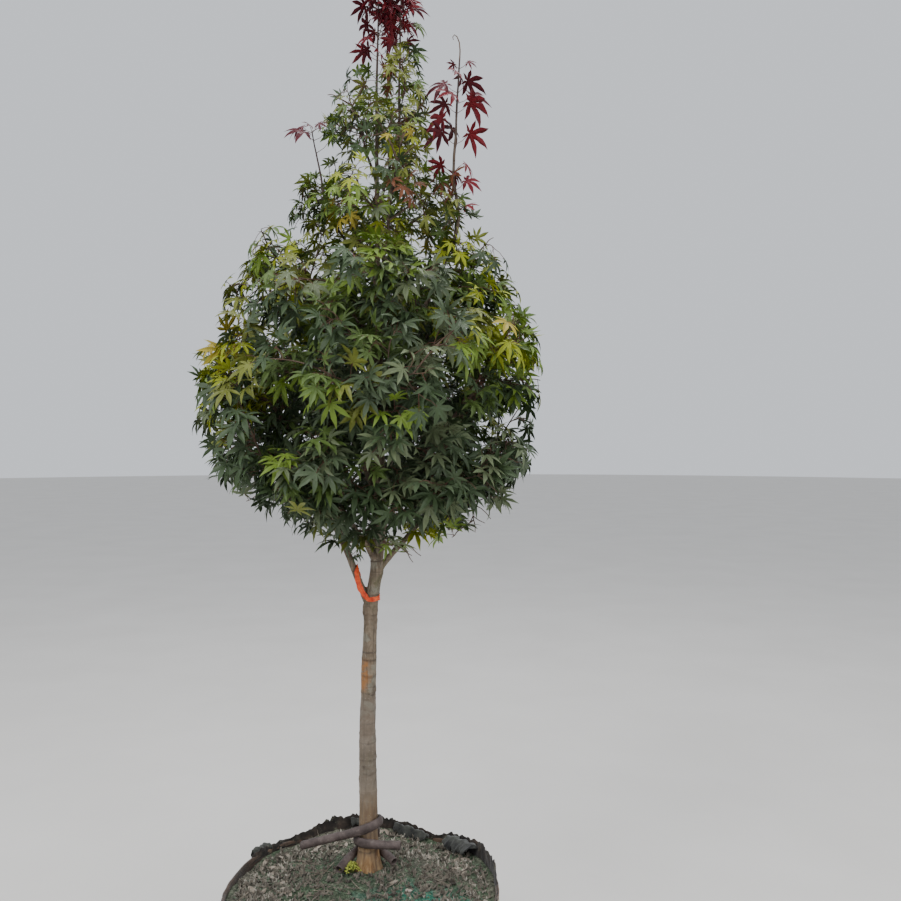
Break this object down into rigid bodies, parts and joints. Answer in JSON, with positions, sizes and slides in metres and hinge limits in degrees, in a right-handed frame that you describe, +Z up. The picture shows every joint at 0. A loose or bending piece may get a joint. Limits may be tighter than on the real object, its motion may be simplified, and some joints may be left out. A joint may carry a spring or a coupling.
{
  "type": "young japanese maple tree in a fabric grow bag",
  "caption": "Young upright maple with a slim forked stem and a dense ovoid crown of lobed leaves under crimson leader shoots, rooted in a round soil-filled fabric grow bag.",
  "frame": {"origin": "middle of the grow bag's flat underside, where it stands", "axes": "+Z up along the trunk, +X to the right of the picture's view, +Y away from it"},
  "size_m": [0.9405, 0.9378, 3.0302],
  "materials": {
    "bag_fabric": "weathered dark brown non-woven fabric with moss and lichen",
    "soil": "dark bark mulch with dry leaf litter and green algae",
    "bark": "smooth grey-brown bark with faint rings and tan patches",
    "leaf_dark": "dark bluish green leaf with a soft sheen",
    "leaf_green": "mid green leaf with a soft sheen",
    "leaf_olive": "olive and yellow-green leaf",
    "leaf_crimson": "deep crimson young leaf",
    "ribbon": "orange-red flagging ribbon",
    "hose_rubber": "weathered dark rubber hose"
  },
  "bodies": {
    "root": {"fabric_bag": "bag_fabric", "soil": "soil", "trunk": "bark", "bough_lower_1": "bark", "bough_lower_2": "bark", "bough_lower_3": "bark", "bough_lower_4": "bark", "bough_low_left": "bark", "bough_middle_4": "bark", "bough_middle_1": "bark", "bough_middle_2": "bark", "bough_middle_3": "bark", "bough_second_stem": "bark", "bough_upper_1": "bark", "bough_upper_2": "bark", "bough_upper_3": "bark", "bough_upper_4": "bark", "bough_high_1": "bark", "bough_high_2": "bark", "bough_high_3": "bark", "bough_top_1": "bark", "bough_top_2": "bark", "bough_left_shoot": "bark", "bough_red_shoot": "bark", "bough_leader_right": "bark", "foliage_lower_1": "leaf_dark", "foliage_lower_2": "leaf_dark", "foliage_lower_3": "leaf_dark", "foliage_lower_4": "leaf_dark", "foliage_low_left": "leaf_dark", "foliage_middle_4": "leaf_dark", "foliage_middle_1": "leaf_green", "foliage_middle_2": "leaf_green", "foliage_middle_3": "leaf_green", "foliage_second_stem": "leaf_green", "foliage_upper_1": "leaf_olive", "foliage_upper_2": "leaf_olive", "foliage_upper_3": "leaf_olive", "foliage_upper_4": "leaf_olive", "foliage_high_1": "leaf_olive", "foliage_high_2": "leaf_olive", "foliage_high_3": "leaf_olive", "foliage_top_1": "leaf_olive", "foliage_top_2": "leaf_olive", "foliage_left_shoot": "leaf_olive", "foliage_red_shoot": "leaf_crimson", "foliage_leader": "leaf_crimson", "foliage_leader_right": "leaf_crimson", "ribbon": "ribbon", "hose_left": "hose_rubber", "hose_right": "hose_rubber", "hose_front": "hose_rubber"}
  },
  "joints": []
}
